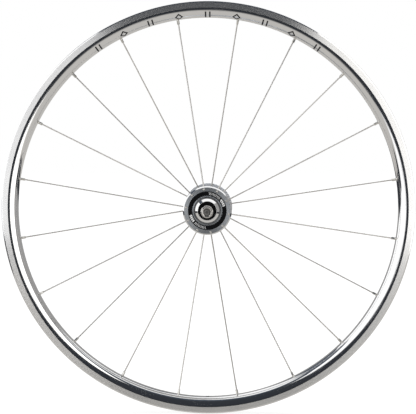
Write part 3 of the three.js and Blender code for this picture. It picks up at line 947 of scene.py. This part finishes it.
def make_axle():
    """The axle: a thick middle, two seats for the bearings, and a threaded end with a drilled centre."""
    near, far = near_and_far("bearing_inner_race_left")
    body_r, seat_r, drill_r = 6.8, 6.0, 1.7
    step = THREAD_PITCH / 8
    thread_start = far + 0.4
    rows = np.arange(thread_start, AXLE_END - 0.8, step)
    half = [(body_r, 0), (body_r, near - 0.6), (body_r - 0.5, near - 0.1)]
    half += [(seat_r, near - 0.1), (seat_r, far - 0.3), (seat_r - 0.3, far), (THREAD_R, far + 0.05)]
    half += [(THREAD_R, y) for y in rows]
    half += [(THREAD_R, AXLE_END - 0.75), (THREAD_R - 0.6, AXLE_END), (drill_r, AXLE_END)]
    half += [(drill_r * 0.5, AXLE_END - 1.1), (0, AXLE_END - 1.2)]
    outline = [(r, -y) for r, y in reversed(half) if y > 0] + half
    shape = thread_shape(thread_start, AXLE_END - 0.6, THREAD_DEPTH)

    def only_thread(r, y, angle):
        threaded, _ = shape(r, y, angle)
        return np.where(np.abs(r - THREAD_R) < 1e-6, threaded, r), y

    rings = turned(outline, 64, only_thread)
    axle = build("threaded_axle", skin(rings, closed=False), AXLE_STEEL, 38)
    finish(axle, "axle", "axle_steel", "axle_rod")


def bore_rows(start, end):
    """Rows of points down a threaded bore, from its outer end to its inner end."""
    step = THREAD_PITCH / 6
    return [(NUT_BORE_R, y) for y in np.arange(end - 0.7, start + 0.6, -step)]


def bore_thread(start, end):
    """A shape for turned(): the thread of a bore, leaving the rest of the outline alone."""
    inner = thread_shape(start + 0.3, end - 0.3, THREAD_DEPTH * 0.8, inside=True)

    def shape(r, y, angle):
        threaded, _ = inner(r, y, angle)
        return np.where(np.abs(r - NUT_BORE_R) < 1e-6, threaded, r), y

    return shape


def make_spacer(label, side):
    """The lock spacer: a sleeve up to the bearing, and a knurled flange with a serrated face."""
    near, far = near_and_far("lock_spacer_left")
    sleeve_r, flange_r, teeth = 8.15, 9.05, 40
    foot = far - 4
    face = [(r, far) for r in (8.75, 8.2, 7.7, 7.2, 6.7)]
    outline = [(NUT_BORE_R + 0.5, near), (sleeve_r - 0.4, near), (sleeve_r, near + 0.4)]
    outline += [(sleeve_r, foot - 0.6), (sleeve_r - 0.35, foot - 0.4), (sleeve_r - 0.35, foot)]
    outline += [(flange_r - 0.3, foot), (flange_r, foot + 0.35), (flange_r, foot + 0.8)]
    outline += [(flange_r, far - 0.9), (flange_r - 0.1, far - 0.35)] + face
    outline += [(5.9, far), (NUT_BORE_R + 0.5, far - 0.1)] + bore_rows(near, far) + [(NUT_BORE_R, near + 0.5)]
    thread = bore_thread(near, far)

    def shape(r, y, angle):
        r, _ = thread(r, y, angle)
        wave = 0.5 + 0.5 * np.cos(teeth * angle)
        on_face = (np.abs(np.abs(y) - far) < 1e-6) & (r > 6.5) & (r < 8.9)
        on_edge = (np.abs(r - flange_r) < 1e-6) & (np.abs(y) > foot + 0.5)
        y = np.where(on_face, y - np.sign(y) * 0.28 * wave, y)
        return np.where(on_edge, r - 0.18 * wave, r), y

    rings = turned(on_side(outline, side), 240, shape)
    spacer = build("locking_spacer_" + label, skin(rings), TURNED_STEEL, 30)
    finish(spacer, "axle", "turned_steel", "lock_spacer_" + label)


def make_washer(label, side):
    """A washer with radial teeth on the face that grips the fork end."""
    near, far = near_and_far("serrated_washer_left")
    bore_r, outer_r, teeth = 5.15, 9.5, 36
    teeth_rows = [(r, near) for r in (6.0, 6.8, 7.6, 8.4, 9.1)]
    outline = [(bore_r, near + 0.25), (bore_r + 0.25, near)] + teeth_rows
    outline += [(outer_r - 0.05, near + 0.25), (outer_r, near + 0.7), (outer_r - 0.1, near + 0.95)]
    outline += [(8.6, far - 0.08), (8.3, far), (bore_r + 0.25, far), (bore_r, far - 0.25)]

    def shape(r, y, angle):
        wave = np.abs(((teeth * angle / (2 * math.pi)) % 1) * 2 - 1)
        on_face = (np.abs(np.abs(y) - near) < 1e-6) & (r > 5.7)
        return r, np.where(on_face, y + np.sign(y) * 0.3 * wave, y)

    washer = build("toothed_washer_" + label, skin(turned(on_side(outline, side), 216, shape)), ZINC, 28)
    finish(washer, "washer_" + label, "zinc_plated_steel", "serrated_washer_" + label)


def make_nut(label, side):
    """A hexagon nut, chamfered at both ends, with a corner at the bottom."""
    near, far = near_and_far("axle_nut_left")
    flats, chamfer, mouth_r, sides = 7.5, 7.25, 5.6, 180
    turn = np.linspace(0, 2 * math.pi, sides, endpoint=False)
    corner_at = math.pi / 2
    fold = (turn - corner_at) % (math.pi / 3) - math.pi / 6
    hexagon = flats / np.cos(fold)
    drop = (hexagon - chamfer) * math.tan(math.radians(30))
    level = np.full(sides, 1.0)
    edge = hexagon - 0.08
    rings = [
        (level * chamfer, level * near),
        (edge, near + drop * 0.8),
        (hexagon, near + drop * 0.8 + 0.12),
        (hexagon, far - drop - 0.12),
        (edge, far - drop),
        (level * chamfer, level * far),
        (level * (chamfer - 0.15), level * far),
        (level * (mouth_r + 0.15), level * far),
        (level * mouth_r, level * (far - 0.05)),
    ]
    thread = thread_shape(near + 0.3, far - 0.3, THREAD_DEPTH * 0.8, inside=True)
    for _, y in bore_rows(near, far):
        r, _ = thread(np.full((1, sides), NUT_BORE_R), np.full((1, sides), side * y), turn[None, :])
        rings.append((r[0], level * y))
    rings += [(level * mouth_r, level * near)]
    points = [np.stack([r * np.cos(turn), side * y, r * np.sin(turn)], -1) for r, y in rings]
    nut = build("hexagon_nut_" + label, skin(np.array(points)), ZINC, 26)
    finish(nut, "nut_" + label, "zinc_plated_steel", "axle_nut_" + label)


# -------------------- studio, camera and light

FLOOR_Z = cad_box[0][2] - 0.5 * MM
CAMERA_DISTANCE = 2.473
CAMERA_AZIMUTH, CAMERA_ELEVATION = 1.29, 4.78
LENS, SENSOR_WIDTH = 139.1, 36.0
CAMERA_SHIFT = (0.0004, 0.0041)
HORIZON = -7.0
GAP_LEFT, GAP_RIGHT = -4.9, 2.2
LEFT_BOARD_END, RIGHT_BOARD_END = -122.0, 38.0
BOARD_TOP_BY_GAP = 2.3
LEFT_BOARD = rgb(1.15, 1.15, 1.15)
RIGHT_BOARD = rgb(1.5, 1.48, 1.44)
OVERHEAD = rgb(1.05, 1.05, 1.05)
GREY_WALL = rgb(0.34, 0.335, 0.33)
TABLE_TOP = rgb(0.53, 0.515, 0.49)
ROOM_LOW, ROOM_HIGH = rgb(0.028, 0.031, 0.037), rgb(0.085, 0.1, 0.125)


def make_floor():
    """A pale floor under the wheel, which glows a little, and which the metal does not mirror."""
    half = 6.0
    mesh = bpy.data.meshes.new("floor")
    corners = [(-half, -half, FLOOR_Z), (half, -half, FLOOR_Z), (half, half, FLOOR_Z), (-half, half, FLOOR_Z)]
    mesh.from_pydata(corners, [], [(0, 1, 2, 3)])
    floor = bpy.data.objects.new("floor", mesh)
    bpy.context.scene.collection.objects.link(floor)
    material, nodes, shader = new_material("pale_floor")
    link(
        nodes,
        shader,
        Base_Color=rgb(0.3, 0.3, 0.3),
        Roughness=0.9,
        Emission_Color=rgb(1.0, 1.0, 1.0),
        Emission_Strength=0.84,
    )
    mesh.materials.append(material)
    floor.visible_glossy = False
    floor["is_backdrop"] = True


def make_world():
    """The studio that the metal mirrors, by azimuth from the camera's side (right positive) and elevation.

    A dark room, with a low white board either side of a narrow dark gap in front of the camera, a wide white
    light overhead, a grey wall on the right and behind, and a table top of warm grey."""
    world = bpy.data.worlds.new("studio")
    world.use_nodes = True
    bpy.context.scene.world = world
    tree = world.node_tree
    tree.nodes.clear()
    nodes = Nodes(tree)
    way = nodes.new("ShaderNodeTexCoord").outputs["Generated"]
    x, y, z = nodes.new("ShaderNodeSeparateXYZ", {0: way}).outputs
    to_degrees = 180 / math.pi
    elevation = nodes.math("MULTIPLY", nodes.math("ARCSINE", z), to_degrees)
    azimuth = nodes.math("MULTIPLY", nodes.math("ARCTAN2", x, nodes.math("MULTIPLY", y, -1.0)), to_degrees)

    def profile(points):
        """An elevation for each azimuth, straight between points."""
        node = nodes.new("ShaderNodeValToRGB", {"Fac": nodes.ramp(azimuth, -180.0, 180.0, smooth=False)})
        stops = node.color_ramp.elements
        while len(stops) > 1:
            stops.remove(stops[-1])
        for k, (where, height) in enumerate(points):
            stop = stops[0] if k == 0 else stops.new((where + 180) / 360)
            stop.position = (where + 180) / 360
            shade = (height + 90) / 180
            stop.color = (shade, shade, shade, 1.0)
        return nodes.math("SUBTRACT", nodes.math("MULTIPLY", node.outputs["Color"], 180.0), 90.0)

    def above(value, edge, soft):
        """1 where the value is over the edge, which may be a number or a profile."""
        gap = nodes.math("SUBTRACT", value, edge)
        return nodes.ramp(gap, -soft, soft)

    def both(*masks):
        made = masks[0]
        for mask in masks[1:]:
            made = nodes.math("MULTIPLY", made, mask)
        return made

    table = profile(
        [(-123, -11.6), (-107, -15), (-58, -17), (-43, -16.3), (-25, -13), (-12, HORIZON)]
        + [(GAP_LEFT, HORIZON), (-4.8, -7.3), (-3.9, -7.9), (-1.4, -8.65), (1.3, -7.85), (2.1, -7.3)]
        + [(GAP_RIGHT, HORIZON), (12, HORIZON), (40, -15), (60, -20), (100, -20), (140, -10), (180, -4)]
    )
    left_top = profile(
        [(-180, 20), (-129, 36), (-100, 44), (-60, 34), (-40, 29), (-18.6, 21), (GAP_LEFT, BOARD_TOP_BY_GAP)]
    )
    left_foot = profile([(-180, 0), (-123, -1.4), (-58, -10.5), (-43, -8), (-12, HORIZON), (0, HORIZON)])
    right_top = profile([(GAP_RIGHT, BOARD_TOP_BY_GAP), (13, 17), (23, 22), (31, 25), (40, 25)])
    light_edge = profile(
        [(-180, 56), (-160, 44), (-130, 52), (-100, 58), (-72, 57), (-40, 50), (-31, 47), (-12, 68), (0, 77)]
        + [(10, 66), (30, 50), (62, 52), (80, 37), (115, 36), (135, 50), (150, 62), (180, 56)]
    )
    wall_top = profile([(-180, 45), (-130, 30), (-125, -20), (45, -20), (50, 24), (70, 45), (180, 45)])
    wall_foot = profile([(-125, -5), (50, -11), (100, -11), (140, -6), (180, -4)])
    masks = [
        (both(above(wall_top, elevation, 3.0), above(elevation, wall_foot, 0.8)), GREY_WALL),
        (
            both(
                above(left_top, elevation, 0.6),
                above(elevation, left_foot, 0.6),
                above(GAP_LEFT, azimuth, 0.25),
                above(azimuth, LEFT_BOARD_END, 3.0),
            ),
            LEFT_BOARD,
        ),
        (
            both(
                above(right_top, elevation, 0.6),
                above(azimuth, GAP_RIGHT, 0.12),
                above(RIGHT_BOARD_END, azimuth, 1.5),
            ),
            RIGHT_BOARD,
        ),
        (above(elevation, light_edge, 4.0), OVERHEAD),
        (above(table, elevation, 0.5), TABLE_TOP),
    ]
    room = nodes.ramp(elevation, -10.0, 45.0, 0.0, 1.0)
    colour = nodes.mix(room, ROOM_LOW, ROOM_HIGH)
    for mask, paint in masks:
        colour = nodes.mix(mask, colour, paint)
    studio = nodes.new("ShaderNodeBackground", {"Color": colour, "Strength": 1.0})
    white = nodes.new("ShaderNodeBackground", {"Color": rgb(1.0, 1.0, 1.0), "Strength": 1.0})
    seen = nodes.new("ShaderNodeLightPath").outputs["Is Camera Ray"]
    mixed = nodes.new("ShaderNodeMixShader", {0: seen, 1: studio.outputs[0], 2: white.outputs[0]})
    nodes.new("ShaderNodeOutputWorld", {"Surface": mixed.outputs[0]})


def make_light(name, position, size, power):
    """A white area light that points at the wheel, unseen by the camera and by mirror reflections."""
    data = bpy.data.lights.new(name, "AREA")
    data.shape = "RECTANGLE"
    data.size, data.size_y = size
    data.energy = power
    light = bpy.data.objects.new(name, data)
    light.location = position
    light.rotation_euler = (-Vector(position)).to_track_quat("-Z", "Y").to_euler()
    light.visible_camera = False
    light.visible_glossy = False
    bpy.context.scene.collection.objects.link(light)


def make_camera():
    """The camera, on a line from the wheel's middle."""
    azimuth, elevation = math.radians(CAMERA_AZIMUTH), math.radians(CAMERA_ELEVATION)
    level = math.cos(elevation)
    way = Vector((math.sin(azimuth) * level, -math.cos(azimuth) * level, math.sin(elevation)))
    data = bpy.data.cameras.new("camera")
    data.lens = LENS
    data.sensor_width = SENSOR_WIDTH
    data.shift_x, data.shift_y = CAMERA_SHIFT
    camera = bpy.data.objects.new("camera", data)
    camera.location = way * CAMERA_DISTANCE
    camera.rotation_euler = (-way).to_track_quat("-Z", "Y").to_euler()
    bpy.context.scene.collection.objects.link(camera)
    bpy.context.scene.camera = camera


make_camera()
make_world()
make_floor()
make_light("overhead", (0.4, 0.6, 2.2), (1.6, 1.6), 18)

make_rim()
make_tape()
make_rim_marks()
for spoke in spoke_places():
    make_spoke(*spoke)
    make_nipple(*spoke)
make_hub()
make_axle()
for side_name, side_sign in SIDES.items():
    make_label(side_name, side_sign)
    make_bearing(side_name, side_sign)
    make_cover(side_name, side_sign)
    make_spacer(side_name, side_sign)
    make_washer(side_name, side_sign)
    make_nut(side_name, side_sign)

bpy.context.scene.view_settings.view_transform = "Standard"

boxes = {"cad": cad_box, "visual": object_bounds()}
{key: [[float(v) for v in corner] for corner in box] for key, box in boxes.items()}
